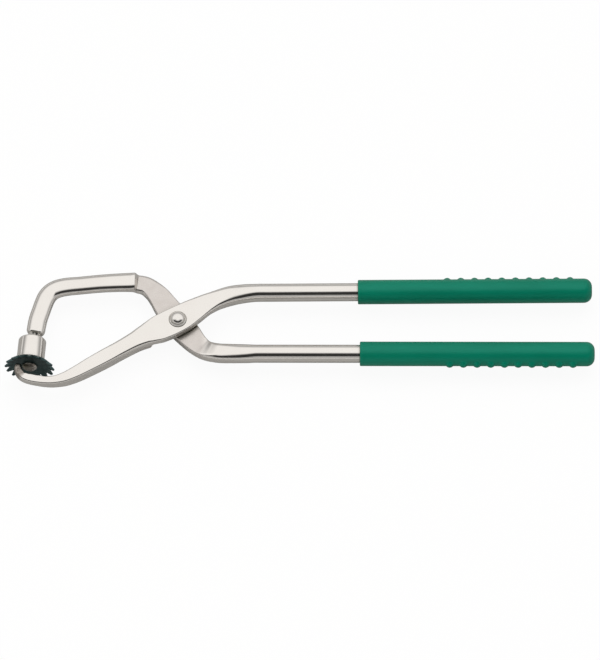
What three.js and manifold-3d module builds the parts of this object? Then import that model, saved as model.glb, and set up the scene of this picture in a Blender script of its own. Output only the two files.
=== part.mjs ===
// Long-handled brake spring pliers: two forged levers crossed in a half-lap joint, a C-shaped claw arm
// whose end carries a swivelling toothed disc, a hooked jaw that closes under that disc, and two grips.
// Millimetres. X runs along the handles, Z along the pivot towards the domed rivet head.
// The origin is on the pivot axis, on the flush rear end of the pivot rivet.
import * as THREE from 'three';
import { mergeVertices } from 'three/addons/utils/BufferGeometryUtils.js';
import Module from 'manifold-3d';

const wasm = await Module();
wasm.setup();

// ---- Driving dimensions ----
const GAP = 0.3;                // between pieces that touch
const PLATE = 4.7;              // thickness of each lever at the half-lap joint
const MID = PLATE + GAP / 2;    // height of the tool's middle plane
const LAP = GAP / 2;            // half the clearance between the levers at the joint
const ROD_RADIUS = 5;           // of the handle rods
const ARM_HALF = 3.3;           // half thickness of the claw arm
const ARM_ROUNDING = 3.2;       // of its long edges
const ROD_START = 45;           // where the forged section has become a round rod
const UPPER_ROD = { y: 19.4, lean: 0.43, gripStart: 100.1 };    // hook lever's handle, leaning in degrees
const LOWER_ROD = { y: -19.3, lean: -0.08, gripStart: 101.1 };  // claw lever's handle

const GRIP_RADIUS = 6.8;
const GRIP_LENGTH = 130.3;
const GRIP_END_WALL = 2;
const GRIP_ROUNDING = 4.5;      // of the closed end
const GRIP_CHAMFER = 0.7;       // of the open end
const NUBS = 10;
const NUB_PITCH = 7.6;
const NUB_RADIUS = 2.4;
const NUB_HEIGHT = 1.6;
const NUB_SUNK = 0.7;           // depth of a nub's centre below the grip's surface
const FIRST_NUB = 49.8;         // from the grip's open end

const RIVET_SHANK = 3.2;
const RIVET_HEAD = 4.9;
const RIVET_DOME = 2.9;
const RIVET_SINK = 1.8;         // height of the countersunk end
const NOTCH = { x: -84.4, y: -33.5, radius: 1.1 };    // spring notch inside the hook

const BALL = new THREE.Vector2(-80.95, -15.3);  // centre of the swivel joint
const ARM_LEAN = -11.6;         // degrees that the ball's stud leans from Y
const SWIVEL_LEAN = -4.9;       // degrees that the swivel leans from Y
const BALL_RADIUS = 4.8;
const NECK_RADIUS = 2.3;
const COLLAR_RADIUS = 3.7;      // of the stud, where it meets the arm's end
const STUD_IN_ARM = 9.4;
const ARM_END = 8.2;            // from the ball's centre to the arm's end face
const DRUM_RADIUS = 7.7;
const DRUM_BORE = 6.1;
const DRUM_TOP = 4.6;           // rim above the ball's centre
const DRUM_LIP = { radius: 5.1, height: 1 };        // turned in over the retaining ring
const DRUM_SHOULDER = 1.2;      // rounding of the upper edge
const DRUM_CHAMFER = 0.5;       // of the lower edge
const DRUM_FLOOR = 2;
const RING = { inner: 4.5, outer: 5.5, bottom: 2.2, top: 2.9 };
const SEAT = { radius: 5.8, bore: 3.8, cup: -6.2 };     // cup: height of the bowl's underside
const DISC_TOP = -10.2;         // disc's upper face below the ball's centre
const DISC_THICKNESS = 1.5;
const DISC_RADIUS = 13.9;       // at the tooth tips
const TOOTH_ROOT = 10.2;        // radius where the teeth start
const TOOTH_DROP = 2.6;         // how far the tips are bent down
const TOOTH_EDGE = 0.4;         // thickness of a tooth's tip
const TEETH = 16;
const DISC_RIVET_SHANK = 2.2;
const DISC_RIVET_HEAD = 4.3;
const DISC_RIVET_DOME = 2.2;
const DISC_RIVET_INNER = { radius: 3.3, height: 1.2 };  // head inside the drum

// ---- Helpers ----
const radians = THREE.MathUtils.degToRad;

function material(color, roughness, metalness) {
  return new THREE.MeshStandardMaterial({ color, roughness, metalness });
}

// A closed geometry as a manifold solid, whichever way its faces were wound.
function solid(geometry, matrix = new THREE.Matrix4()) {
  const plain = geometry.clone().applyMatrix4(matrix);
  plain.deleteAttribute('normal');
  plain.deleteAttribute('uv');
  const merged = mergeVertices(plain, 1e-4);
  const p = merged.attributes.position.array;
  const triangles = [];
  let volume = 0;
  for (let i = 0; i < merged.index.count; i += 3) {
    const [a, b, c] = [0, 1, 2].map((k) => merged.index.array[i + k]);
    if (a === b || b === c || a === c) continue;
    triangles.push([a, b, c]);
    const [u, v, w] = [a, b, c].map((k) => new THREE.Vector3().fromArray(p, 3 * k));
    volume += u.dot(v.cross(w));
  }
  const wound = volume > 0 ? triangles : triangles.map(([a, b, c]) => [a, c, b]);
  return new wasm.Manifold(new wasm.Mesh({
    numProp: 3,
    vertProperties: new Float32Array(p),
    triVerts: new Uint32Array(wound.flat()),
  }));
}

function geometryOf(manifold) {
  const mesh = manifold.getMesh();
  const geometry = new THREE.BufferGeometry();
  geometry.setAttribute('position', new THREE.BufferAttribute(mesh.vertProperties, 3));
  geometry.setIndex(new THREE.BufferAttribute(mesh.triVerts, 1));
  geometry.computeVertexNormals();
  return geometry;
}

function named(name, manifold, look) {
  const mesh = new THREE.Mesh(geometryOf(manifold), look);
  mesh.name = name;
  return mesh;
}

// A solid of revolution about Y from [radius, y] pairs that start and end on the axis.
function turned(profile, segments) {
  return new THREE.LatheGeometry(profile.map(([r, y]) => new THREE.Vector2(r, y)), segments);
}

// Points of an arc from one angle to another, in degrees, as [radius, y] pairs.
function arc(cx, cy, radius, from, to, steps) {
  return Array.from({ length: steps + 1 }, (_, k) => {
    const angle = radians(from + (to - from) * k / steps);
    return [cx + radius * Math.cos(angle), cy + radius * Math.sin(angle)];
  });
}

// A shallow dome of the given base radius and height, as [radius, y] pairs from its edge to the axis.
function dome(radius, base, height, steps) {
  return Array.from({ length: steps + 1 }, (_, k) => {
    const angle = Math.PI / 2 * k / steps;
    return [radius * Math.cos(angle), base + height * Math.sin(angle)];
  });
}

// A value between stations that never overshoots them (monotone cubic).
function between(values, position) {
  const last = values.length - 1;
  const i = Math.min(Math.floor(position), last - 1);
  const step = (k) => values[k + 1] - values[k];
  const slope = (k) => {
    if (k === 0 || k === last) return 0;
    const [before, after] = [step(k - 1), step(k)];
    return before * after > 0 ? 2 * before * after / (before + after) : 0;
  };
  const t = position - i;
  return values[i] * (1 + 2 * t) * (1 - t) ** 2 + values[i + 1] * t * t * (3 - 2 * t)
    + slope(i) * t * (1 - t) ** 2 - slope(i + 1) * t * t * (1 - t);
}

// The rounded rectangle across a lever, as [sideways, z] pairs.
function section(width, top, bottom, rounding) {
  const radius = Math.min(rounding, 0.49 * Math.min(width, top - bottom));
  const side = width / 2 - radius;
  const corners = [[side, top, 0], [-side, top, 90], [-side, bottom, 180], [side, bottom, 270]];
  return corners.flatMap(([n, z, from]) => arc(n, z > bottom ? z - radius : z + radius, radius, from, from + 90, 3));
}

// A forged lever lofted along its centreline. A station is [x, y, width, top, bottom, corner radius].
function lever(stations) {
  const line = new THREE.CatmullRomCurve3(stations.map(([x, y]) => new THREE.Vector3(x, y, 0)), false, 'centripetal');
  const spans = stations.length - 1;
  const positions = [0];
  for (let i = 0; i < spans; i++) {
    const length = Math.hypot(stations[i + 1][0] - stations[i][0], stations[i + 1][1] - stations[i][1]);
    const steps = length > 30 ? 2 : Math.max(1, Math.round(length / 2.4));
    for (let k = 1; k <= steps; k++) positions.push(i + k / steps);
  }
  const value = (column, position) => between(stations.map((s) => s[column]), position);
  const points = [];
  for (const position of positions) {
    const centre = line.getPoint(position / spans);
    const along = line.getTangent(position / spans);
    for (const [n, z] of section(...[2, 3, 4, 5].map((column) => value(column, position)))) {
      points.push(centre.x - along.y * n, centre.y + along.x * n, z);
    }
  }
  const around = points.length / 3 / positions.length;
  const faces = [];
  for (let i = 0; i < positions.length - 1; i++) {
    for (let j = 0; j < around; j++) {
      const [a, b] = [i * around + j, i * around + (j + 1) % around];
      faces.push(a, b, b + around, a, b + around, a + around);
    }
  }
  const end = (positions.length - 1) * around;
  for (let j = 1; j < around - 1; j++) {
    faces.push(0, j + 1, j, end, end + j, end + j + 1);
  }
  const geometry = new THREE.BufferGeometry();
  geometry.setAttribute('position', new THREE.Float32BufferAttribute(points, 3));
  geometry.setIndex(faces);
  return solid(geometry);
}

function placed(x, y, leanDegrees) {
  return new THREE.Matrix4().makeRotationZ(radians(leanDegrees)).setPosition(x, y, 0);
}

// Height of a handle rod's axis above the pivot's, at a distance along X.
function rodY({ y, lean }, x) {
  return y + (x - ROD_START) * Math.tan(radians(lean));
}

// Stations of a straight round rod, which ends inside its grip.
function rod(handle) {
  const end = handle.gripStart + GRIP_LENGTH - GRIP_END_WALL - GAP;
  return [ROD_START, ROD_START + 6, end].map((x) => [x, rodY(handle, x), 2 * ROD_RADIUS, ROD_RADIUS, -ROD_RADIUS, ROD_RADIUS]);
}

// ---- Claw lever: C-shaped arm, lower half of the joint and lower handle ----
function upTheArm(distance) {
  const lean = radians(-ARM_LEAN);
  return [BALL.x + distance * Math.sin(lean), BALL.y + distance * Math.cos(lean)];
}

const arm = [ARM_HALF, -ARM_HALF, ARM_ROUNDING];
const clawStations = [
  [...upTheArm(ARM_END), 6.6, 2.3, -2.3, 1.6],
  [...upTheArm(ARM_END + 0.9), 9, 3.1, -3.1, 2.6],
  [...upTheArm(ARM_END + 2.2), 10.3, ...arm],
  [-77.7, 2, 10.5, ...arm],
  [-76.1, 7.6, 10.5, ...arm],
  [-74.6, 12.5, 10.5, ...arm],
  [-72.9, 16.7, 10.6, ...arm],
  [-70.4, 19.9, 10.7, ...arm],
  [-67, 21.9, 10.8, ...arm],
  [-62.5, 23.1, 10.8, ...arm],
  [-54.3, 24, 10.6, ...arm],
  [-43, 25.2, 10.7, ...arm],
  [-34, 25.8, 11, ...arm],
  [-27, 26.1, 11.2, ARM_HALF, -3.6, ARM_ROUNDING],
  [-24.1, 26.2, 11, ARM_HALF, -4.2, 2.8],
  [-22.4, 26.1, 10.8, -LAP, -4.5, 2],
  [-18, 25, 11, -LAP, -MID, 2],
  [-13.8, 21.8, 11.4, -LAP, -MID, 1.6],
  [-10.3, 17.7, 12.3, -LAP, -MID, 0.8],
  [-6.6, 11.8, 13.8, -LAP, -MID, 0.8],
  [-0.2, 2, 16, -LAP, -MID, 0.8],
  [6.2, -6.5, 14.2, -LAP, -MID, 0.8],
  [9.4, -10.6, 12.7, -LAP, -MID, 0.8],
  [12.2, -13.5, 11.5, -LAP, -MID, 0.8],
  [14.6, -15.5, 10.8, 0.5, -MID, 1.2],
  [17.5, -17.1, 10.5, 1.8, -MID, 2],
  [22.5, -18.7, 10.3, 3.5, -4.3, 2.6],
  [30, -19.2, 10.3, 4.3, -4.4, 3.2],
  [38, -19.3, 10.2, 4.7, -4.7, 4],
  ...rod(LOWER_ROD),
];

// ---- Hook lever: hooked jaw, upper half of the joint and upper handle ----
const hookStations = [
  [-88.1, -28, 2.2, 4.9, 2, 0.9],
  [-88.2, -28.6, 3.7, 5.4, 1.4, 1.3],
  [-88.2, -30.9, 4.3, 5.6, 1, 1.3],
  [-87.2, -33.8, 4.6, 5.6, 0.9, 1.2],
  [-84.9, -35.8, 4.9, 5.5, 0.8, 1.1],
  [-81.6, -37, 5.1, 5.4, 0.7, 1],
  [-77.8, -37.7, 5.2, 5.3, 0.4, 1],
  [-73, -38.3, 4.9, 5.2, -0.3, 1],
  [-68, -38, 5.1, 5.1, -1, 1],
  [-62.5, -36.3, 6.1, 5, -1.9, 1],
  [-56, -32.8, 7.2, MID, -2.8, 1],
  [-48.7, -28.2, 8.1, MID, -3.3, 1],
  [-40, -22.8, 8.9, MID, -3.4, 1.2],
  [-32, -17.8, 9.4, MID, -3.3, 1.8],
  [-24, -12.7, 10.4, MID, -3.2, 2],
  [-18, -9.1, 12.4, MID, -3.1, 1.7],
  [-16.2, -8.2, 13.3, MID, LAP, 1.4],
  [-10, -5.1, 15.8, MID, LAP, 0.8],
  [-4.3, -2.1, 16.4, MID, LAP, 0.8],
  [1.3, 1.1, 16.1, MID, LAP, 0.8],
  [8, 5.6, 14.8, MID, LAP, 1.3],
  [13.6, 9.3, 13, MID, LAP, 1.8],
  [16, 10.8, 12.1, MID, -0.4, 1.9],
  [22, 14, 10.8, MID, -2, 2.4],
  [29.5, 17.2, 10.6, 4.7, -3.8, 3],
  [37, 18.8, 10.3, 4.8, -4.7, 4],
  ...rod(UPPER_ROD),
];

const upright = new THREE.Matrix4().makeRotationX(Math.PI / 2);
const pivotHole = solid(new THREE.CylinderGeometry(RIVET_SHANK + GAP, RIVET_SHANK + GAP, 4 * PLATE, 24), upright);

function clawLever() {
  const studBore = solid(
    new THREE.CylinderGeometry(NECK_RADIUS + GAP, NECK_RADIUS + GAP, 20, 20).translate(0, ARM_END, 0),
    placed(BALL.x, BALL.y, ARM_LEAN),
  );
  const sinkTop = -MID + RIVET_SINK + GAP;
  const countersink = solid(turned([
    [0, -MID - GAP], [RIVET_HEAD + GAP, -MID - GAP], [RIVET_SHANK + GAP, sinkTop], [0, sinkTop],
  ], 28), upright);
  return lever(clawStations).subtract(pivotHole).subtract(studBore).subtract(countersink);
}

function hookLever() {
  const springNotch = solid(
    new THREE.CylinderGeometry(NOTCH.radius, NOTCH.radius, 4 * PLATE, 12).applyMatrix4(upright)
      .translate(NOTCH.x, NOTCH.y, 0),
  );
  return lever(hookStations).subtract(pivotHole).subtract(springNotch);
}

// Rivet about Z: flush countersunk end at the back, domed head at the front.
function pivotRivet() {
  return solid(turned([
    [0, -MID], [RIVET_HEAD - LAP, -MID], [RIVET_SHANK, -MID + RIVET_SINK], [RIVET_SHANK, MID + GAP],
    ...dome(RIVET_HEAD, MID + GAP, RIVET_DOME, 6),
  ], 28), upright);
}

// ---- Swivel: everything here turns about Y through the ball's centre ----
function ballStud() {
  const shankTop = ARM_END + STUD_IN_ARM;
  return solid(turned([
    ...arc(0, 0, BALL_RADIUS, -90, 61, 12), [NECK_RADIUS, 5.2], [COLLAR_RADIUS, ARM_END - GAP],
    [NECK_RADIUS, ARM_END - GAP], [NECK_RADIUS, shankTop], [0, shankTop],
  ], 24), placed(BALL.x, BALL.y, ARM_LEAN));
}

function swivelDrum() {
  const bottom = DISC_TOP + GAP;
  const floor = bottom + DRUM_FLOOR;
  const hole = DISC_RIVET_SHANK + GAP;
  const underLip = DRUM_TOP - DRUM_LIP.height;
  return turned([
    [hole, bottom], [DRUM_RADIUS - DRUM_CHAMFER, bottom], [DRUM_RADIUS, bottom + DRUM_CHAMFER],
    ...arc(DRUM_RADIUS - DRUM_SHOULDER, DRUM_TOP - DRUM_SHOULDER, DRUM_SHOULDER, 0, 90, 3),
    [DRUM_LIP.radius, DRUM_TOP], [DRUM_LIP.radius, underLip], [DRUM_BORE, underLip],
    [DRUM_BORE, floor], [hole, floor], [hole, bottom],
  ], 32);
}

function retainingRing() {
  const { inner, outer, bottom, top } = RING;
  return turned([[inner, bottom], [outer, bottom], [outer, top], [inner, top], [inner, bottom]], 24);
}

function ballSeat() {
  const bowl = arc(0, 0, BALL_RADIUS + GAP, -90, -12, 7);
  const base = DISC_TOP + GAP + DRUM_FLOOR + GAP;
  return turned([
    ...bowl, [SEAT.radius, bowl.at(-1)[1]], [SEAT.radius, base], [SEAT.bore, base], [SEAT.bore, SEAT.cup],
    [0, SEAT.cup],
  ], 24);
}

// A washer whose rim slopes down to the tooth tips, with V notches cut through it.
function toothedDisc() {
  const under = DISC_TOP - DISC_THICKNESS;
  const hole = DISC_RIVET_SHANK + GAP;
  const tip = DISC_TOP - TOOTH_DROP;
  let disc = solid(turned([
    [hole, DISC_TOP], [TOOTH_ROOT + 0.5, DISC_TOP], [DISC_RADIUS, tip],
    [DISC_RADIUS, tip - TOOTH_EDGE], [DISC_RADIUS - 0.6, tip - TOOTH_EDGE - 0.3],
    [TOOTH_ROOT - 0.3, under], [hole, under], [hole, DISC_TOP],
  ], 2 * TEETH));
  const reach = DISC_RADIUS + 1;
  const halfPitch = Math.PI * DISC_RADIUS / TEETH - 0.2;
  const spread = halfPitch * (reach - TOOTH_ROOT) / (DISC_RADIUS - TOOTH_ROOT);
  const notch = new THREE.Shape([
    new THREE.Vector2(TOOTH_ROOT, 0), new THREE.Vector2(reach, -spread), new THREE.Vector2(reach, spread),
  ]);
  const wedge = new THREE.ExtrudeGeometry(notch, { depth: 8, bevelEnabled: false })
    .rotateX(Math.PI / 2).translate(0, DISC_TOP + 1, 0);
  for (let k = 0; k < TEETH; k++) {
    const turn = 2 * Math.PI * (k + 0.5) / TEETH;
    disc = disc.subtract(solid(wedge, new THREE.Matrix4().makeRotationY(turn)));
  }
  return disc;
}

function discRivet() {
  const under = DISC_TOP - DISC_THICKNESS - GAP;
  const inside = DISC_TOP + GAP + DRUM_FLOOR + GAP;
  const inner = DISC_RIVET_INNER;
  const head = dome(DISC_RIVET_HEAD, 0, DISC_RIVET_DOME, 5).map(([r, y]) => [r, under - y]).reverse();
  return turned([
    ...head, [DISC_RIVET_SHANK, under], [DISC_RIVET_SHANK, inside], [inner.radius, inside],
    [inner.radius, inside + inner.height], [0, inside + inner.height],
  ], 24);
}

// ---- Grips: sleeves with a round closed end and a row of nubs on the outer side ----
function grip(side) {
  const depth = GRIP_LENGTH - GRIP_END_WALL;
  let body = solid(turned([
    [0, 0], [GRIP_RADIUS - GRIP_CHAMFER, 0], [GRIP_RADIUS, GRIP_CHAMFER],
    ...arc(GRIP_RADIUS - GRIP_ROUNDING, GRIP_LENGTH - GRIP_ROUNDING, GRIP_ROUNDING, 0, 90, 4), [0, GRIP_LENGTH],
  ], 24));
  for (let k = 0; k < NUBS; k++) {
    const nub = new THREE.SphereGeometry(NUB_RADIUS, 10, 8).scale((NUB_HEIGHT + NUB_SUNK) / NUB_RADIUS, 1, 1)
      .translate(side * (GRIP_RADIUS - NUB_SUNK), FIRST_NUB + k * NUB_PITCH, 0);
    body = body.add(solid(nub));
  }
  const bore = new THREE.CylinderGeometry(ROD_RADIUS + GAP, ROD_RADIUS + GAP, 2 * depth, 24);
  return body.subtract(solid(bore));
}

function gripOn(name, handle, side) {
  const mesh = named(name, grip(side), green);
  mesh.position.set(handle.gripStart, rodY(handle, handle.gripStart), 0);
  mesh.rotation.z = radians(handle.lean) - Math.PI / 2;
  return mesh;
}

// ---- Materials ----
const chrome = material(0xd9d4ce, 0.18, 1);
const steel = material(0x8d8f90, 0.4, 1);
const blackSteel = material(0x232d2d, 0.45, 0.6);
const green = material(0x036a50, 0.45, 0);

// ---- Assembly ----
const pliers = new THREE.Group();
pliers.position.z = MID;

const swivel = new THREE.Group();
swivel.position.set(BALL.x, BALL.y, 0);
swivel.rotation.z = radians(SWIVEL_LEAN);
swivel.add(
  named('swivel_drum', solid(swivelDrum()), chrome),
  named('retaining_ring', solid(retainingRing()), steel),
  named('ball_seat', solid(ballSeat()), steel),
  named('toothed_disc', toothedDisc(), blackSteel),
  named('disc_rivet', solid(discRivet()), chrome),
);

pliers.add(
  named('claw_lever', clawLever(), chrome),
  named('hook_lever', hookLever(), chrome),
  named('pivot_rivet', pivotRivet(), chrome),
  named('ball_stud', ballStud(), chrome),
  gripOn('claw_lever_grip', LOWER_ROD, 1),
  gripOn('hook_lever_grip', UPPER_ROD, -1),
  swivel,
);

const root = new THREE.Group();
root.add(pliers);

export default root;
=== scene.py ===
"""Brake spring pliers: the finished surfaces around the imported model.

Lengths are millimetres, turned into metres when a mesh is made. Only the stage, at the end, is in metres.
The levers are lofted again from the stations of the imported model, with finer steps. Each turned piece has its
own profile.
"""
import math

import bmesh
import bpy
from mathutils import Matrix, Vector


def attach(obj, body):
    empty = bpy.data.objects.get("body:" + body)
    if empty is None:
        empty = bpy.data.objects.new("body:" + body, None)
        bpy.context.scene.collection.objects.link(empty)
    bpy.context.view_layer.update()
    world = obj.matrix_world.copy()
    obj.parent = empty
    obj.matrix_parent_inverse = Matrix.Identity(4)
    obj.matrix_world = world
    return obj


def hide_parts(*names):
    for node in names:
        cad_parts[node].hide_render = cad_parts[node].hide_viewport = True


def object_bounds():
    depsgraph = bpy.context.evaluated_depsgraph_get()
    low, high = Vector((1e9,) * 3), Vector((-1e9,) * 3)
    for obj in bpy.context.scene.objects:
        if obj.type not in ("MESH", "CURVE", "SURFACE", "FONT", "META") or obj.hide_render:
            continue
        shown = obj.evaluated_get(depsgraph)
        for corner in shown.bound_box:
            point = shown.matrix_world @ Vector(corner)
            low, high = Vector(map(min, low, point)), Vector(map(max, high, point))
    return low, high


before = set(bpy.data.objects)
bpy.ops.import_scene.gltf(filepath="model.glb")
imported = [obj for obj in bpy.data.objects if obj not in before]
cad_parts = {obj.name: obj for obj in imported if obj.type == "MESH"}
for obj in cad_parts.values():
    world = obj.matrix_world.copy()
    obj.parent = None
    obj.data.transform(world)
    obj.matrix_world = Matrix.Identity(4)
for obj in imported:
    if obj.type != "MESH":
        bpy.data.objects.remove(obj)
cad_low, cad_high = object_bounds()

# ---- Driving dimensions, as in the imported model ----
MM = 0.001
GAP = 0.3
PLATE = 4.7
LAP = GAP / 2
MID = PLATE + LAP
ROD_RADIUS = 5
ARM_HALF = 3.3
ARM_ROUNDING = 3.2
ROD_START = 45
UPPER_ROD = {"y": 19.4, "lean": 0.43, "grip_start": 100.1}
LOWER_ROD = {"y": -19.3, "lean": -0.08, "grip_start": 101.1}

GRIP_RADIUS = 6.8
GRIP_LENGTH = 130.3
GRIP_END_WALL = 2
GRIP_ROUNDING = 4.5
GRIP_CHAMFER = 0.7
NUBS = 10
NUB_PITCH = 7.6
NUB_RADIUS = 2.4
NUB_HEIGHT = 1.6
NUB_SUNK = 0.7
FIRST_NUB = 49.8

RIVET_SHANK = 3.2
RIVET_HEAD = 4.9
RIVET_DOME = 2.9
RIVET_SINK = 1.8
RIVET_BUTTON = 3.9              # radius of the button on the head's flange
RIVET_FLANGE = 0.9              # how far the flange stands above the lever
COUNTERSINK_DEPTH = 2
NOTCH_AT = (-84.4, -33.5, MID)
NOTCH_RADIUS = 1.1

BALL = Vector((-80.95, -15.3, MID))
ARM_LEAN = -11.6
SWIVEL_LEAN = -4.9
BALL_RADIUS = 4.8
NECK_RADIUS = 2.3
COLLAR_RADIUS = 3.7
STUD_IN_ARM = 9.4
ARM_END = 8.2
DRUM_RADIUS = 7.7
DRUM_BORE = 6.1
DRUM_LIP = 5.1
DRUM_LIP_HEIGHT = 1
DRUM_LIP_EDGE = 0.25
DRUM_SHOULDER = 1.2
DRUM_CHAMFER = 0.5
DRUM_TOP = 4.6
DRUM_FLOOR = 2
DISC_TOP = -10.2
DISC_THICKNESS = 1.5
DISC_RADIUS = 13.9
TOOTH_ROOT = 10.2
TOOTH_DROP = 2.6
TOOTH_EDGE = 0.4
TOOTH_TIP = 0.2                 # half the width of a tooth at its tip
TEETH = 16
DISC_RIVET_SHANK = 2.2
DISC_RIVET_HEAD = 4.3
DISC_RIVET_DOME = 2.2
DISC_RIVET_INNER = 3.3
DISC_RIVET_INNER_HEIGHT = 1.2

LOFT_STEP = 0.55                # between the rings of a lever
ROD_STEPS = 24                  # rings along a straight rod
CORNER_STEPS = 8                # of a lever's rounded edge
FLAT_STEPS = 5                  # across a lever's flat side
OVAL = 0.4                      # how much wider than high a full rounding is
OVAL_FROM = 2.2                 # the largest rounding that is still circular
ALMOST_HALF = 0.49              # of a side, so that two roundings never quite meet
LONG_SPAN = 30                  # stations further apart than this belong to a straight rod
GUARD = 0.12                    # beside each rounded edge, to keep the flat side's shading flat
SHARP = math.radians(38)        # edges sharper than this are shaded as edges
CUTTER_SIDES = 64
CUTTER_LENGTH = 20


# ---- Mesh helpers ----
def finish_mesh(name, bm, material):
    """A new object from a mesh in millimetres, smooth except at its sharp edges."""
    bmesh.ops.recalc_face_normals(bm, faces=bm.faces)
    bmesh.ops.scale(bm, vec=(MM, MM, MM), verts=bm.verts)
    mesh = bpy.data.meshes.new(name)
    bm.to_mesh(mesh)
    bm.free()
    mesh.polygons.foreach_set("use_smooth", [True] * len(mesh.polygons))
    mesh.set_sharp_from_angle(angle=SHARP)
    obj = bpy.data.objects.new(name, mesh)
    bpy.context.scene.collection.objects.link(obj)
    if material:
        mesh.materials.append(material)
    return obj


def ring_faces(bm, rings):
    """Quads between neighbouring rings of vertices, and a face over each end."""
    for one, two in zip(rings, rings[1:]):
        count = len(one)
        for j in range(count):
            k = (j + 1) % count
            bm.faces.new((one[j], one[k], two[k], two[j]))
    bm.faces.new(rings[0])
    bm.faces.new(rings[-1])


def arc(cx, cy, radius, start, end, steps):
    """Points of an arc from one angle to another, in degrees, as pairs."""
    angles = [math.radians(start + (end - start) * k / steps) for k in range(steps + 1)]
    return [(cx + radius * math.cos(a), cy + radius * math.sin(a)) for a in angles]


def dome(radius, base, height, steps):
    """A shallow dome as (radius, y) pairs from its edge to the axis."""
    angles = [math.pi / 2 * k / steps for k in range(steps + 1)]
    return [(radius * math.cos(a), base + height * math.sin(a)) for a in angles]


def turned(profile, segments, matrix):
    """A solid of revolution about Y. The profile closes on itself or starts and ends on the axis."""
    bm = bmesh.new()
    closed = profile[0] == profile[-1]
    points = profile[:-1] if closed else profile
    rows = []
    for r, y in points:
        if r < 1e-6:
            rows.append([bm.verts.new((0, y, 0))])
            continue
        turns = [2 * math.pi * k / segments for k in range(segments)]
        rows.append([bm.verts.new((r * math.cos(t), y, r * math.sin(t))) for t in turns])
    pairs = list(zip(rows, rows[1:]))
    if closed:
        pairs.append((rows[-1], rows[0]))
    for one, two in pairs:
        for k in range(segments):
            n = (k + 1) % segments
            corners = (one[k % len(one)], one[n % len(one)], two[n % len(two)], two[k % len(two)])
            unique = list(dict.fromkeys(corners))
            if len(unique) > 2:
                bm.faces.new(unique)
    bm.transform(matrix)
    return bm


def placed(at, lean):
    """Where a turned piece stands: its centre, and its lean from Y in degrees."""
    return Matrix.Translation(at) @ Matrix.Rotation(math.radians(lean), 4, "Z")


def cut(obj, *cutters):
    """Cuts the cutters out of an object and deletes them."""
    for cutter in cutters:
        modifier = obj.modifiers.new("cut", "BOOLEAN")
        modifier.operation = "DIFFERENCE"
        modifier.solver = "EXACT"
        modifier.object = cutter
    graph = bpy.context.evaluated_depsgraph_get()
    mesh = bpy.data.meshes.new_from_object(obj.evaluated_get(graph))
    obj.modifiers.clear()
    obj.data = mesh
    mesh.polygons.foreach_set("use_smooth", [True] * len(mesh.polygons))
    mesh.set_sharp_from_angle(angle=SHARP)
    for cutter in cutters:
        bpy.data.objects.remove(cutter)
    return obj


def cylinder(radius, length, matrix):
    """A cutter about Y, centred on the matrix."""
    profile = [(0, -length / 2), (radius, -length / 2), (radius, length / 2), (0, length / 2)]
    return finish_mesh("cutter", turned(profile, CUTTER_SIDES, matrix), None)


# ---- The levers' loft ----
def between(values, position):
    """A value between stations that never overshoots them (monotone cubic)."""
    last = len(values) - 1
    i = min(int(position), last - 1)

    def step(k):
        return values[k + 1] - values[k]

    def slope(k):
        if k in (0, last):
            return 0
        before, after = step(k - 1), step(k)
        return 2 * before * after / (before + after) if before * after > 0 else 0

    t = position - i
    return (values[i] * (1 + 2 * t) * (1 - t) ** 2 + values[i + 1] * t * t * (3 - 2 * t)
            + slope(i) * t * (1 - t) ** 2 - slope(i + 1) * t * t * (1 - t))


def centreline(points, position):
    """A point and a direction on the centripetal Catmull-Rom curve through the stations."""
    last = len(points) - 1
    i = min(int(position), last - 1)
    t = position - i
    p1, p2 = points[i], points[i + 1]
    p0 = points[i - 1] if i > 0 else 2 * p1 - p2
    p3 = points[i + 2] if i + 2 <= last else 2 * p2 - p1
    d0, d1, d2 = [max((b - a).length ** 0.5, 1e-6) for a, b in ((p0, p1), (p1, p2), (p2, p3))]
    t1 = ((p1 - p0) / d0 - (p2 - p0) / (d0 + d1) + (p2 - p1) / d1) * d1
    t2 = ((p2 - p1) / d1 - (p3 - p1) / (d1 + d2) + (p3 - p2) / d2) * d1
    c2 = -3 * p1 + 3 * p2 - 2 * t1 - t2
    c3 = 2 * p1 - 2 * p2 + t1 + t2
    return p1 + t1 * t + c2 * t * t + c3 * t ** 3, (t1 + 2 * c2 * t + 3 * c3 * t * t).normalized()


def side_points(start, end):
    """Points along a flat side between two rounded edges, without its ends."""
    length = math.dist(start, end)
    if length < 4 * GUARD:
        shares = [k / (FLAT_STEPS + 1) for k in range(1, FLAT_STEPS + 1)]
    else:
        guard = GUARD / length
        shares = [guard + (1 - 2 * guard) * k / (FLAT_STEPS - 1) for k in range(FLAT_STEPS)]
    return [(start[0] + (end[0] - start[0]) * s, start[1] + (end[1] - start[1]) * s) for s in shares]


def section(width, top, bottom, rounding):
    """The rounded rectangle across a lever, as (sideways, z) pairs. Large roundings are wider than high."""
    radius = min(rounding, ALMOST_HALF * min(width, top - bottom))
    oval = min(max((rounding - OVAL_FROM) / (ARM_ROUNDING - OVAL_FROM), 0), 1)
    reach = min(radius * (1 + OVAL * oval), ALMOST_HALF * width)
    side = width / 2 - reach
    centres = [(side, top - radius, 0), (-side, top - radius, 90),
               (-side, bottom + radius, 180), (side, bottom + radius, 270)]
    arcs = [
        [(n + x * reach, z + y * radius) for x, y in arc(0, 0, 1, start, start + 90, CORNER_STEPS)]
        for n, z, start in centres
    ]
    outline = []
    for k, corner in enumerate(arcs):
        following = arcs[(k + 1) % 4]
        outline += corner + side_points(corner[-1], following[0])
    return outline


def ring_positions(stations):
    """Where the rings lie, counted in stations."""
    positions = [0]
    for i in range(len(stations) - 1):
        length = math.dist(stations[i][:2], stations[i + 1][:2])
        steps = ROD_STEPS if length > LONG_SPAN else max(2, round(length / LOFT_STEP))
        positions += [i + k / steps for k in range(1, steps + 1)]
    return positions


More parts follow.
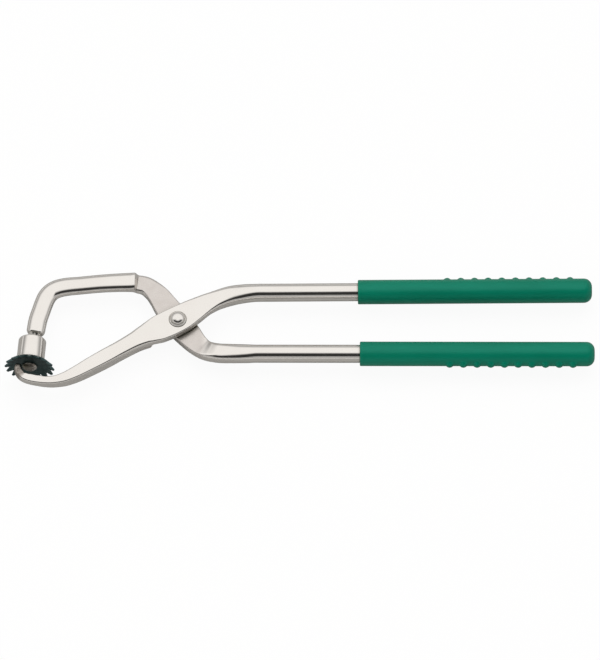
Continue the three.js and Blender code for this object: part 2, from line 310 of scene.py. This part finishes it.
def lever(name, stations, material):
    """A forged lever. A station is (x, y, width, top, bottom, rounding), in z from the middle plane."""
    points = [Vector(s[:2]) for s in stations]
    columns = list(zip(*stations))[2:]
    bm = bmesh.new()
    rings = []
    for position in ring_positions(stations):
        centre, along = centreline(points, position)
        outline = section(*(between(column, position) for column in columns))
        ring = [(centre.x - along.y * n, centre.y + along.x * n, z + MID) for n, z in outline]
        rings.append([bm.verts.new(p) for p in ring])
    ring_faces(bm, rings)
    return finish_mesh(name, bm, material)


def rod_y(handle, x):
    return handle["y"] + (x - ROD_START) * math.tan(math.radians(handle["lean"]))


def rod(handle):
    """Stations of a straight round rod, which ends inside its grip."""
    end = handle["grip_start"] + GRIP_LENGTH - GRIP_END_WALL - GAP
    places = (ROD_START, ROD_START + 6, end)
    return [(x, rod_y(handle, x), 2 * ROD_RADIUS, ROD_RADIUS, -ROD_RADIUS, ROD_RADIUS) for x in places]


def up_the_arm(distance):
    lean = math.radians(-ARM_LEAN)
    return BALL.x + distance * math.sin(lean), BALL.y + distance * math.cos(lean)


def arm(x, y, width, half=ARM_HALF, rounding=ARM_ROUNDING):
    """A station of the claw arm, which is as thick in front of the middle plane as behind it."""
    return x, y, width, half, -half, rounding


CLAW_STATIONS = [
    arm(*up_the_arm(ARM_END), 6.6, 2.3, 1.6),
    arm(*up_the_arm(ARM_END + 0.9), 9, 3.1, 2.6),
    arm(*up_the_arm(ARM_END + 2.2), 10.3),
    arm(-77.7, 2, 10.5),
    arm(-76.1, 7.6, 10.5),
    arm(-74.6, 12.5, 10.5),
    arm(-72.9, 16.7, 10.6),
    arm(-70.4, 19.9, 10.7),
    arm(-67, 21.9, 10.8),
    arm(-62.5, 23.1, 10.8),
    arm(-54.3, 24, 10.6),
    arm(-43, 25.2, 10.7),
    arm(-34, 25.8, 11),
    (-27, 26.1, 11.2, ARM_HALF, -3.6, ARM_ROUNDING),
    (-24.1, 26.2, 11, ARM_HALF, -4.2, 2.8),
    (-22.4, 26.1, 10.8, -LAP, -4.5, 2),
    (-18, 25, 11, -LAP, -MID, 2),
    (-13.8, 21.8, 11.4, -LAP, -MID, 1.6),
    (-10.3, 17.7, 12.3, -LAP, -MID, 0.8),
    (-6.6, 11.8, 13.8, -LAP, -MID, 0.8),
    (-0.2, 2, 16, -LAP, -MID, 0.8),
    (6.2, -6.5, 14.2, -LAP, -MID, 0.8),
    (9.4, -10.6, 12.7, -LAP, -MID, 0.8),
    (12.2, -13.5, 11.5, -LAP, -MID, 0.8),
    (14.6, -15.5, 10.8, 0.5, -MID, 1.2),
    (17.5, -17.1, 10.5, 1.8, -MID, 2),
    (22.5, -18.7, 10.3, 3.5, -4.3, 2.6),
    (30, -19.2, 10.3, 4.3, -4.4, 3.2),
    (38, -19.3, 10.2, 4.7, -4.7, 4),
    *rod(LOWER_ROD),
]

HOOK_STATIONS = [
    (-88.1, -28, 2.2, 4.9, 2, 0.9),
    (-88.2, -28.6, 3.7, 5.4, 1.4, 1.3),
    (-88.2, -30.9, 4.3, 5.6, 1, 1.3),
    (-87.2, -33.8, 4.6, 5.6, 0.9, 1.2),
    (-84.9, -35.8, 4.9, 5.5, 0.8, 1.1),
    (-81.6, -37, 5.1, 5.4, 0.7, 1),
    (-77.8, -37.7, 5.2, 5.3, 0.4, 1),
    (-73, -38.3, 4.9, 5.2, -0.3, 1),
    (-68, -38, 5.1, 5.1, -1, 1),
    (-62.5, -36.3, 6.1, 5, -1.9, 1),
    (-56, -32.8, 7.2, MID, -2.8, 1),
    (-48.7, -28.2, 8.1, MID, -3.3, 1),
    (-40, -22.8, 8.9, MID, -3.4, 1.2),
    (-32, -17.8, 9.4, MID, -3.3, 1.8),
    (-24, -12.7, 10.4, MID, -3.2, 2),
    (-18, -9.1, 12.4, MID, -3.1, 1.7),
    (-16.2, -8.2, 13.3, MID, LAP, 1.4),
    (-10, -5.1, 15.8, MID, LAP, 0.8),
    (-4.3, -2.1, 16.4, MID, LAP, 0.8),
    (1.3, 1.1, 16.1, MID, LAP, 0.8),
    (8, 5.6, 14.8, MID, LAP, 1.3),
    (13.6, 9.3, 13, MID, LAP, 1.8),
    (16, 10.8, 12.1, MID, -0.4, 1.9),
    (22, 14, 10.8, MID, -2, 2.4),
    (29.5, 17.2, 10.6, 4.7, -3.8, 3),
    (37, 18.8, 10.3, 4.8, -4.7, 4),
    *rod(UPPER_ROD),
]


# ---- Materials ----
LAP_CENTRE = 4                  # how far the half-lap joint's middle lies from the pivot, towards -X
LAP_REACH = 17                  # from there to where its dull faces begin to brighten
CHROME = (0.905, 0.88, 0.845)
CLOUDED_CHROME = (0.885, 0.85, 0.815)
DULL_LAP = (0.7, 0.655, 0.625)
BARE_DARK = (0.2, 0.175, 0.155)
BARE_PALE = (0.48, 0.44, 0.4)
# Painted shade in the gaps: its dark olive colour, how far ambient occlusion looks, and how much it darkens.
CREVICE_SHADE_COLOR = (0.1, 0.1, 0.06)
CREVICE_SHADE_REACH = 8
CREVICE_SHADE_SHARE = 0.85
DULLER = 0.17                   # added to the roughness of the lap faces and the worn tip
BLACK = (0.02, 0.028, 0.028)
OXIDE_DARK = (0.034, 0.064, 0.066)
OXIDE_PALE = (0.07, 0.108, 0.106)
OXIDE_WORN = (0.16, 0.17, 0.17)
STEEL = (0.55, 0.55, 0.54)
GREEN = (0, 0.14, 0.08)
GREEN_DARK = (0, 0.148, 0.086)
GREEN_PALE = (0, 0.172, 0.102)
GREEN_GLOSS = (0.3, 1, 0.85, 1)


class Look:
    """A node material with short calls for the nodes that every finish here uses."""

    def __init__(self, name, color, metallic, roughness):
        self.material = bpy.data.materials.new(name)
        self.material.use_nodes = True
        self.tree = self.material.node_tree
        self.shader = self.tree.nodes["Principled BSDF"]
        self.shader.inputs["Base Color"].default_value = (*color, 1)
        self.shader.inputs["Metallic"].default_value = metallic
        self.shader.inputs["Roughness"].default_value = roughness
        self.place = self.node("ShaderNodeTexCoord").outputs["Object"]

    def node(self, kind, **settings):
        made = self.tree.nodes.new(kind)
        for key, value in settings.items():
            setattr(made, key, value)
        return made

    def link(self, output, target):
        self.tree.links.new(output, target)

    def stretched(self, scale):
        """Object coordinates in millimetres, stretched by a factor for each axis."""
        mapping = self.node("ShaderNodeMapping")
        mapping.inputs["Scale"].default_value = [s / MM for s in scale]
        self.link(self.place, mapping.inputs["Vector"])
        return mapping.outputs["Vector"]

    def noise(self, scale, detail=3, roughness=0.55):
        """Noise over a stretched grid: scale is in waves per millimetre along each axis."""
        made = self.node("ShaderNodeTexNoise")
        made.inputs["Scale"].default_value = 1
        made.inputs["Detail"].default_value = detail
        made.inputs["Roughness"].default_value = roughness
        self.link(self.stretched(scale), made.inputs["Vector"])
        return made.outputs["Fac"]

    def ramp(self, value, low, high, to_low, to_high):
        """Maps low..high onto to_low..to_high, held at the ends."""
        made = self.node("ShaderNodeMapRange")
        made.inputs["From Min"].default_value = low
        made.inputs["From Max"].default_value = high
        made.inputs["To Min"].default_value = to_low
        made.inputs["To Max"].default_value = to_high
        self.link(value, made.inputs["Value"])
        return made.outputs["Result"]

    def math(self, operation, one, two):
        made = self.node("ShaderNodeMath", operation=operation)
        for socket, value in zip(made.inputs, (one, two)):
            if isinstance(value, (int, float)):
                socket.default_value = value
            else:
                self.link(value, socket)
        return made.outputs["Value"]

    def mix(self, factor, one, two):
        made = self.node("ShaderNodeMix", data_type="RGBA")
        self.link(factor, made.inputs["Factor"])
        for socket, value in ((made.inputs[6], one), (made.inputs[7], two)):
            if isinstance(value, tuple):
                socket.default_value = (*value, 1)
            else:
                self.link(value, socket)
        return made.outputs[2]

    def bump(self, height, depth, after=None):
        """Relief of the given depth in millimetres."""
        made = self.node("ShaderNodeBump")
        made.inputs["Strength"].default_value = 1
        made.inputs["Distance"].default_value = depth * MM
        self.link(height, made.inputs["Height"])
        if after:
            self.link(after, made.inputs["Normal"])
        return made.outputs["Normal"]

    def set(self, name, output):
        self.link(output, self.shader.inputs[name])


def lap_face(look):
    """1 on the flat inner faces of the half-lap joint, which are drawn darker and rougher, and 0 elsewhere."""
    parts = look.node("ShaderNodeSeparateXYZ")
    look.link(look.place, parts.inputs[0])
    height = look.math("SUBTRACT", parts.outputs["Z"], MID * MM)
    near_middle = look.ramp(look.math("ABSOLUTE", height, 0), 0.3 * MM, 0.9 * MM, 1, 0)
    reach = look.math("ABSOLUTE", look.math("ADD", parts.outputs["X"], LAP_CENTRE * MM), 0)
    return look.math("MULTIPLY", near_middle, look.ramp(reach, LAP_REACH * MM, (LAP_REACH + 4) * MM, 1, 0))


def painted_crevice_shade(look, distance):
    """Painted shade: 0 in the open, rising to 1 deep in the gaps that ambient occlusion finds."""
    made = look.node("ShaderNodeAmbientOcclusion", samples=8)
    made.inputs["Distance"].default_value = distance * MM
    return look.ramp(made.outputs["AO"], 0.42, 0.78, 1, 0)


def worn_tip(look):
    """1 on the hook's tip, where springs have rubbed through the plating, and 0 elsewhere."""
    parts = look.node("ShaderNodeSeparateXYZ")
    look.link(look.place, parts.inputs[0])
    ragged = look.math("MULTIPLY", look.noise((0.5, 0.5, 0.5), 4, 0.65), 5 * MM)
    place = look.math("SUBTRACT", look.math("SUBTRACT", parts.outputs["X"], ragged), parts.outputs["Y"])
    return look.math("MULTIPLY", look.ramp(place, -54 * MM, -51.5 * MM, 1, 0),
                     look.ramp(parts.outputs["Y"], -27 * MM, -27.9 * MM, 0, 1))


def chrome(name, grain=(0.03, 0.5, 0.5), satin=0):
    """Plated steel: bright, with a faint grain, soft smears and painted shade in the gaps.

    It is darker and rougher on the lap faces and worn through on the hook's tip.
    """
    look = Look(name, CHROME, 1, 0.13)
    cloud = look.noise((0.06, 0.06, 0.06), 4)
    plated = look.mix(look.ramp(cloud, 0.35, 0.7, 0, 1), CHROME, CLOUDED_CHROME)
    lap = lap_face(look)
    patchy = look.ramp(look.noise((0.2, 0.2, 0.2), 5, 0.6), 0.35, 0.7, 0.75, 1)
    plated = look.mix(look.math("MULTIPLY", lap, patchy), plated, DULL_LAP)
    tip = worn_tip(look)
    mottle = look.noise((0.9, 0.9, 0.9), 5, 0.7)
    bare = look.mix(look.ramp(mottle, 0.35, 0.65, 0, 1), BARE_DARK, BARE_PALE)
    plated = look.mix(tip, plated, bare)
    # Painted shade: the base colour turns dark olive in the gaps that ambient occlusion finds.
    gap_shade = look.math("MULTIPLY", painted_crevice_shade(look, CREVICE_SHADE_REACH), CREVICE_SHADE_SHARE)
    look.set("Base Color", look.mix(gap_shade, plated, CREVICE_SHADE_COLOR))
    smear = look.noise((0.12, 0.35, 0.35), 5, 0.6)
    rough = look.ramp(smear, 0.35, 0.75, 0.085 + satin, 0.17 + 1.4 * satin)
    dull = look.math("MULTIPLY", look.math("MAXIMUM", lap, tip), DULLER)
    look.set("Roughness", look.math("ADD", rough, dull))
    fine = look.noise(grain, 4, 0.7)
    waves = look.noise((0.09, 0.09, 0.09), 2)
    look.set("Normal", look.bump(fine, 0.0035 + 0.02 * satin, look.bump(waves, 0.012)))
    return look.material


def black_oxide():
    """Blackened sheet steel: satin, cloudy, and worn brighter in small spots."""
    look = Look("black_oxide", BLACK, 0.75, 0.36)
    cloud = look.noise((0.35, 0.35, 0.35), 5)
    base = look.mix(look.ramp(cloud, 0.35, 0.7, 0, 1), OXIDE_DARK, OXIDE_PALE)
    wear = look.noise((1.4, 1.4, 1.4), 6, 0.7)
    look.set("Base Color", look.mix(look.ramp(wear, 0.66, 0.76, 0, 0.5), base, OXIDE_WORN))
    look.set("Roughness", look.ramp(cloud, 0.3, 0.75, 0.3, 0.46))
    look.set("Normal", look.bump(look.noise((2.2, 2.2, 2.2), 4), 0.02))
    return look.material


def plain_steel():
    """Turned steel inside the drum: dull, with fine turning marks."""
    look = Look("turned_steel", STEEL, 1, 0.35)
    marks = look.noise((0.4, 6, 0.4), 3)
    look.set("Roughness", look.ramp(marks, 0.3, 0.7, 0.28, 0.42))
    look.set("Normal", look.bump(marks, 0.01))
    return look.material


def green_vinyl():
    """Dipped vinyl: semi-matt green with a fine pebble, slow colour drift and faint handling marks."""
    look = Look("green_vinyl", GREEN, 0, 0.42)
    look.shader.inputs["Specular Tint"].default_value = GREEN_GLOSS
    drift = look.noise((0.03, 0.12, 0.12), 4)
    look.set("Base Color", look.mix(look.ramp(drift, 0.3, 0.7, 0, 1), GREEN_DARK, GREEN_PALE))
    marks = look.noise((0.25, 0.9, 0.9), 6, 0.65)
    look.set("Roughness", look.ramp(marks, 0.35, 0.7, 0.3, 0.4))
    pebble = look.noise((3.2, 3.2, 3.2), 3)
    swell = look.noise((0.16, 0.5, 0.5), 2)
    look.set("Normal", look.bump(pebble, 0.02, look.bump(swell, 0.03)))
    return look.material


def dress(obj, body, slot, *nodes):
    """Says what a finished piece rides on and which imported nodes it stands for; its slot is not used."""
    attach(obj, body)
    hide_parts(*nodes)


# ---- Levers ----
UPRIGHT = Matrix.Rotation(math.pi / 2, 4, "X")


def pivot_cutter():
    return cylinder(RIVET_SHANK + GAP, 4 * PLATE, Matrix.Translation((0, 0, MID)) @ UPRIGHT)


def countersink():
    """A cutter for the rivet's flush end, which goes in from the back."""
    depth = COUNTERSINK_DEPTH
    profile = [(0, -GAP), (RIVET_HEAD + GAP, -GAP), (RIVET_SHANK + GAP, depth), (0, depth)]
    return finish_mesh("cutter", turned(profile, CUTTER_SIDES, UPRIGHT), None)


def claw_lever(material):
    in_arm = placed(BALL, ARM_LEAN) @ Matrix.Translation((0, ARM_END, 0))
    bore = cylinder(NECK_RADIUS + GAP, CUTTER_LENGTH, in_arm)
    lever_object = lever("forged_claw_lever", CLAW_STATIONS, material)
    return cut(lever_object, pivot_cutter(), countersink(), bore)


def hook_lever(material):
    notch = cylinder(NOTCH_RADIUS, CUTTER_LENGTH, Matrix.Translation(NOTCH_AT) @ UPRIGHT)
    return cut(lever("forged_hook_lever", HOOK_STATIONS, material), pivot_cutter(), notch)


def pivot_rivet(material):
    """A rivet about Z: flush countersunk at the back, a button on a thin flange at the front."""
    seat = 2 * MID + GAP
    flange = [
        (RIVET_HEAD - 0.15, seat), (RIVET_HEAD, seat + 0.15), (RIVET_HEAD - 0.1, seat + 0.35),
        (RIVET_BUTTON + 0.25, seat + RIVET_FLANGE + 0.1),
    ]
    profile = [
        (0, 0), (RIVET_HEAD - 0.4, 0), (RIVET_HEAD - 0.2, 0.15), (RIVET_SHANK, RIVET_SINK),
        (RIVET_SHANK, seat), *flange, *dome(RIVET_BUTTON, seat + RIVET_FLANGE, RIVET_DOME - RIVET_FLANGE, 24),
    ]
    return finish_mesh("domed_pivot_rivet", turned(profile, 96, UPRIGHT), material)


# ---- Swivel ----
def ball_stud(material):
    """A stud about Y: its ball at the bottom, a flared neck, and a shank that is pressed into the arm."""
    top = ARM_END + STUD_IN_ARM
    profile = [
        *arc(0, 0, BALL_RADIUS, -90, 61, 32), (NECK_RADIUS, 5.2), (COLLAR_RADIUS, ARM_END - GAP),
        (NECK_RADIUS, ARM_END - GAP), (NECK_RADIUS, top), (0, top),
    ]
    profile[0] = (0, -BALL_RADIUS)
    return finish_mesh("swivel_ball_stud", turned(profile, 64, placed(BALL, ARM_LEAN)), material)


def swivel_drum(material):
    """A cup about Y, with a rounded shoulder, an inward lip and a hole in its floor for the disc's rivet."""
    bottom = DISC_TOP + GAP
    floor = bottom + DRUM_FLOOR
    hole = DISC_RIVET_SHANK + GAP
    under_lip = DRUM_TOP - DRUM_LIP_HEIGHT
    profile = [
        (hole, bottom), *arc(DRUM_RADIUS - DRUM_CHAMFER, bottom + DRUM_CHAMFER, DRUM_CHAMFER, -90, 0, 6),
        *arc(DRUM_RADIUS - DRUM_SHOULDER, DRUM_TOP - DRUM_SHOULDER, DRUM_SHOULDER, 0, 90, 12),
        *arc(DRUM_LIP + DRUM_LIP_EDGE, DRUM_TOP - DRUM_LIP_EDGE, DRUM_LIP_EDGE, 90, 180, 4),
        (DRUM_LIP, under_lip), (DRUM_BORE, under_lip), (DRUM_BORE, floor), (hole, floor), (hole, bottom),
    ]
    return finish_mesh("turned_swivel_drum", turned(profile, 128, placed(BALL, SWIVEL_LEAN)), material)


def tooth_notch(turn):
    """A V that is cut through the disc's rim, as a prism along Y."""
    reach = DISC_RADIUS + 1
    half_width = math.pi * DISC_RADIUS / TEETH - TOOTH_TIP
    spread = half_width * (reach - TOOTH_ROOT) / (DISC_RADIUS - TOOTH_ROOT)
    corners = [(TOOTH_ROOT, 0), (reach, -spread), (reach, spread)]
    above, below = DISC_TOP + 1, DISC_TOP - 7
    bm = bmesh.new()
    rows = [[bm.verts.new((x, y, z)) for x, z in corners] for y in (above, below)]
    ring_faces(bm, rows)
    bm.transform(placed(BALL, SWIVEL_LEAN) @ Matrix.Rotation(turn, 4, "Y"))
    return finish_mesh("cutter", bm, None)


def toothed_disc(material):
    """A washer whose rim slopes down to the tooth tips, with V notches cut through it."""
    under = DISC_TOP - DISC_THICKNESS
    hole = DISC_RIVET_SHANK + GAP
    profile = [
        (hole, DISC_TOP), (TOOTH_ROOT + 0.2, DISC_TOP), (TOOTH_ROOT + 0.7, DISC_TOP - 0.2),
        (DISC_RADIUS, DISC_TOP - TOOTH_DROP), (DISC_RADIUS, DISC_TOP - TOOTH_DROP - TOOTH_EDGE),
        (DISC_RADIUS - 0.6, DISC_TOP - TOOTH_DROP - 0.7), (TOOTH_ROOT - 0.3, under), (hole, under),
        (hole, DISC_TOP),
    ]
    washer = turned(profile, 8 * TEETH, placed(BALL, SWIVEL_LEAN))
    disc = finish_mesh("dished_toothed_disc", washer, material)
    return cut(disc, *[tooth_notch(2 * math.pi * (k + 0.5) / TEETH) for k in range(TEETH)])


def disc_rivet(material):
    """A rivet about Y: its dome under the disc, and a flat head inside the drum."""
    under = DISC_TOP - DISC_THICKNESS - GAP
    inside = DISC_TOP + GAP + DRUM_FLOOR + GAP
    head = [(r, under - y) for r, y in reversed(dome(DISC_RIVET_HEAD, 0, DISC_RIVET_DOME, 16))]
    head[0] = (0, head[0][1])
    profile = [
        *head, (DISC_RIVET_SHANK, under), (DISC_RIVET_SHANK, inside), (DISC_RIVET_INNER, inside),
        (DISC_RIVET_INNER, inside + DISC_RIVET_INNER_HEIGHT), (0, inside + DISC_RIVET_INNER_HEIGHT),
    ]
    return finish_mesh("domed_disc_rivet", turned(profile, 64, placed(BALL, SWIVEL_LEAN)), material)


# ---- Grips ----
GRIP_AROUND = 120               # vertices round the sleeve
GRIP_STEP = 0.45                # between its rings
LIP_ROUNDING = 0.6              # of the open end
NUB_FILLET = 0.25
NUB_AREA = 4                    # how far along the sleeve a nub can reach from its centre
NUB_ANGLE = 1                   # and round it, in radians


def nub_height(along, across):
    """How far a nub stands above the sleeve, at distances from its centre along and across it."""
    distance = math.hypot(along, across) / NUB_RADIUS
    tall = NUB_HEIGHT + NUB_SUNK
    swell = tall * math.sqrt(max(0.0, 1 - distance ** 2)) - NUB_SUNK
    fillet = NUB_FILLET * math.exp(-((distance - 0.95) / 0.16) ** 2)
    return max(0.0, swell) + fillet * (0.6 if swell > 0 else 1)


def sleeve_profile():
    """The sleeve from its bore, round its open end, along its outside and over its closed end."""
    bore = ROD_RADIUS + GAP
    depth = GRIP_LENGTH - GRIP_END_WALL
    straight = GRIP_LENGTH - GRIP_ROUNDING - GRIP_CHAMFER
    steps = round(straight / GRIP_STEP)
    outside = [(GRIP_RADIUS, GRIP_CHAMFER + straight * k / steps) for k in range(1, steps)]
    return [
        (0, depth), (bore, depth), (bore, 0.3), (bore + 0.2, 0.05), (GRIP_RADIUS - LIP_ROUNDING, 0),
        *arc(GRIP_RADIUS - LIP_ROUNDING, LIP_ROUNDING, LIP_ROUNDING, -80, 0, 5), *outside,
        *arc(GRIP_RADIUS - GRIP_ROUNDING, GRIP_LENGTH - GRIP_ROUNDING, GRIP_ROUNDING, 0, 90, 14),
        (0, GRIP_LENGTH),
    ]


def grip(name, handle, side, material):
    """A dipped sleeve about Y with its nubs on one side, laid along its handle."""
    bm = turned(sleeve_profile(), GRIP_AROUND, Matrix.Identity(4))
    centres = [FIRST_NUB + k * NUB_PITCH for k in range(NUBS)]
    for vertex in bm.verts:
        x, y, z = vertex.co
        radius = math.hypot(x, z)
        nearest = min(centres, key=lambda centre: abs(centre - y))
        around = math.atan2(z, side * x)
        outer = radius >= GRIP_RADIUS - 0.1
        if not outer or abs(y - nearest) > NUB_AREA or abs(around) > NUB_ANGLE:
            continue
        grown = 1 + nub_height(y - nearest, around * GRIP_RADIUS) / radius
        vertex.co = (x * grown, y, z * grown)
    start = Vector((handle["grip_start"], rod_y(handle, handle["grip_start"]), MID))
    bm.transform(placed(start, handle["lean"] - 90))
    return finish_mesh(name, bm, material)


# ---- The object ----
def satin_chrome(name):
    return chrome(name, grain=(0.4, 0.4, 0.4), satin=0.05)


def build_object():
    plated = chrome("chrome_forging")
    turned_chrome = chrome("chrome_turned", grain=(0.5, 0.03, 0.5))
    vinyl = green_vinyl()
    dress(claw_lever(plated), "claw_lever", "chrome", "claw_lever")
    dress(hook_lever(plated), "hook_lever", "chrome", "hook_lever")
    dress(pivot_rivet(satin_chrome("chrome_rivet")), "claw_lever", "chrome", "pivot_rivet")
    dress(ball_stud(turned_chrome), "claw_lever", "chrome", "ball_stud")
    dress(swivel_drum(turned_chrome), "swivel_drum", "chrome", "swivel_drum")
    dress(toothed_disc(black_oxide()), "swivel_drum", "black_oxide", "toothed_disc")
    dress(disc_rivet(satin_chrome("chrome_disc_rivet")), "swivel_drum", "chrome", "disc_rivet")
    dress(grip("claw_grip_sleeve", LOWER_ROD, 1, vinyl), "claw_lever", "green_vinyl", "claw_lever_grip")
    dress(grip("hook_grip_sleeve", UPPER_ROD, -1, vinyl), "hook_lever", "green_vinyl", "hook_lever_grip")
    inner = plain_steel()
    for node in ("retaining_ring", "ball_seat"):
        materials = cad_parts[node].data.materials
        materials.clear()
        materials.append(inner)


# ---- Stage ----
VIEW_ELEVATION = math.radians(61)
VIEW_DISTANCE = 6               # far back, so that the view is almost parallel
FRAME_WIDTH = 0.3333            # across the picture, at the object
FRAME_CENTRE = Vector((67.9, -4.26, MID)) * MM
PICTURE = (600, 660)
SENSOR = 36                     # millimetres
CLIP_END = 100


def make_camera():
    data = bpy.data.cameras.new("camera")
    camera = bpy.data.objects.new("camera", data)
    bpy.context.scene.collection.objects.link(camera)
    back = Vector((0, -math.cos(VIEW_ELEVATION), math.sin(VIEW_ELEVATION)))
    camera.location = FRAME_CENTRE + back * VIEW_DISTANCE
    camera.rotation_mode = "QUATERNION"
    camera.rotation_quaternion = (-back).to_track_quat("-Z", "Y")
    long_side = FRAME_WIDTH * max(PICTURE) / PICTURE[0]
    data.sensor_width = SENSOR
    data.lens = SENSOR * VIEW_DISTANCE / long_side
    data.clip_end = CLIP_END
    bpy.context.scene.camera = camera


class Shades(Look):
    """The same short calls for a node tree that starts empty, such as the world's."""

    def __init__(self, tree):
        self.tree = tree
        tree.nodes.clear()


def smooth(tree, value, low, high, to_low, to_high):
    """Maps low..high onto to_low..to_high in a smooth step, held at the ends."""
    made = tree.node("ShaderNodeMapRange", interpolation_type="SMOOTHSTEP")
    made.inputs["From Min"].default_value = low
    made.inputs["From Max"].default_value = high
    made.inputs["To Min"].default_value = to_low
    made.inputs["To Max"].default_value = to_high
    tree.link(value, made.inputs["Value"])
    return made.outputs["Result"]


def dot(tree, vector, axis):
    made = tree.node("ShaderNodeVectorMath", operation="DOT_PRODUCT")
    tree.link(vector, made.inputs[0])
    made.inputs[1].default_value = axis
    return made.outputs["Value"]


DARK_HEIGHT = 0.7               # of the surround's dark opening, on the -Y side, as the sine of its elevation
DARK_HALF_WIDTH = 0.9           # in the same measure
DARK_HALF_HEIGHT = 0.24
DARKEST = 0.035
HORIZON_GLOW = 0.92
BAND_GLOW = 0.35
TOP_GLOW = 0.6                  # added to the band's
SKY_COLOR = (1, 0.985, 0.965, 1)
WHITE = (1, 1, 1, 1)


def make_world():
    """A surround that is bright above and at the horizon, greyer between, and dark in one opening in front.

    The camera itself sees plain white.
    """
    world = bpy.data.worlds.new("tent")
    bpy.context.scene.world = world
    world.use_nodes = True
    tree = Shades(world.node_tree)
    direction = tree.node("ShaderNodeTexCoord").outputs["Generated"]
    height = dot(tree, direction, (0, 0, 1))
    strip = smooth(tree, height, 0.02, 0.22, HORIZON_GLOW, BAND_GLOW)
    dome_light = smooth(tree, height, 0.26, 0.72, 0, TOP_GLOW)
    sky = tree.math("ADD", strip, dome_light)
    side = tree.math("DIVIDE", dot(tree, direction, (1, 0, 0)), DARK_HALF_WIDTH)
    rise = tree.math("DIVIDE", tree.math("SUBTRACT", height, DARK_HEIGHT), DARK_HALF_HEIGHT)
    reach = tree.math("ADD", tree.math("POWER", side, 2), tree.math("POWER", rise, 2))
    opening = smooth(tree, reach, 0.55, 1.5, DARKEST, 1)
    behind = smooth(tree, dot(tree, direction, (0, -1, 0)), -0.05, 0.2, 1, 0)
    sky = tree.math("MULTIPLY", sky, tree.math("MAXIMUM", opening, behind))
    light = tree.node("ShaderNodeBackground")
    tree.link(sky, light.inputs["Strength"])
    light.inputs["Color"].default_value = SKY_COLOR
    plain = tree.node("ShaderNodeBackground")
    plain.inputs["Color"].default_value = WHITE
    shown = mixed(tree, light_path(tree, "Is Camera Ray"), light.outputs[0], plain.outputs[0])
    tree.link(shown, tree.node("ShaderNodeOutputWorld").inputs["Surface"])


def light_path(tree, name):
    return tree.node("ShaderNodeLightPath").outputs[name]


def diffuse(tree, color):
    made = tree.node("ShaderNodeBsdfDiffuse")
    made.inputs["Color"].default_value = (*color, 1)
    return made.outputs[0]


def mixed(tree, share, one, two):
    """Two shaders mixed by a fixed share or by an output."""
    mixer = tree.node("ShaderNodeMixShader")
    if isinstance(share, float):
        mixer.inputs[0].default_value = share
    else:
        tree.link(share, mixer.inputs[0])
    tree.link(one, mixer.inputs[1])
    tree.link(two, mixer.inputs[2])
    return mixer.outputs[0]


FLOOR_SIZE = 12
FLOOR_CLEARANCE = 0.0002
FLOOR_PALE = (0.86, 0.86, 0.855)
FLOOR_MIRRORED = (0.36, 0.355, 0.345)
FLOOR_GLOW = 0.93               # how much of what the camera sees of the floor is plain white


def make_floor():
    """A plain pale floor. The camera sees it almost white, and polished metal mirrors it as a mid grey."""
    bm = bmesh.new()
    half = FLOOR_SIZE / 2
    level = cad_low.z - FLOOR_CLEARANCE
    corners = ((-half, -half), (half, -half), (half, half), (-half, half))
    bm.faces.new([bm.verts.new((x, y, level)) for x, y in corners])
    mesh = bpy.data.meshes.new("floor")
    bm.to_mesh(mesh)
    bm.free()
    floor = bpy.data.objects.new("floor", mesh)
    bpy.context.scene.collection.objects.link(floor)
    material = bpy.data.materials.new("pale_floor")
    material.use_nodes = True
    tree = Shades(material.node_tree)
    pale = diffuse(tree, FLOOR_PALE)
    grey = diffuse(tree, FLOOR_MIRRORED)
    glow = tree.node("ShaderNodeEmission")
    lit = mixed(tree, FLOOR_GLOW, pale, glow.outputs[0])
    mirrored = mixed(tree, light_path(tree, "Is Glossy Ray"), pale, grey)
    surface = mixed(tree, light_path(tree, "Is Camera Ray"), mirrored, lit)
    tree.link(surface, tree.node("ShaderNodeOutputMaterial").inputs["Surface"])
    mesh.materials.append(material)


def make_light(name, at, size, power):
    """A soft light aimed at the object. Polished metal doesn't mirror it."""
    data = bpy.data.lights.new(name, "AREA")
    data.shape = "DISK"
    data.size = size
    data.energy = power
    light = bpy.data.objects.new(name, data)
    bpy.context.scene.collection.objects.link(light)
    light.location = at
    light.rotation_mode = "QUATERNION"
    light.rotation_quaternion = (Vector(at) - FRAME_CENTRE).to_track_quat("Z", "Y")
    light.visible_glossy = False
    light.visible_camera = False


build_object()
make_camera()
make_world()
make_floor()
make_light("top_light", at=(0.1, 0.3, 1.6), size=1.6, power=14)
make_light("front_light", at=(-0.6, -0.9, 1.2), size=1.2, power=5)
bpy.context.scene.view_settings.view_transform = "Standard"
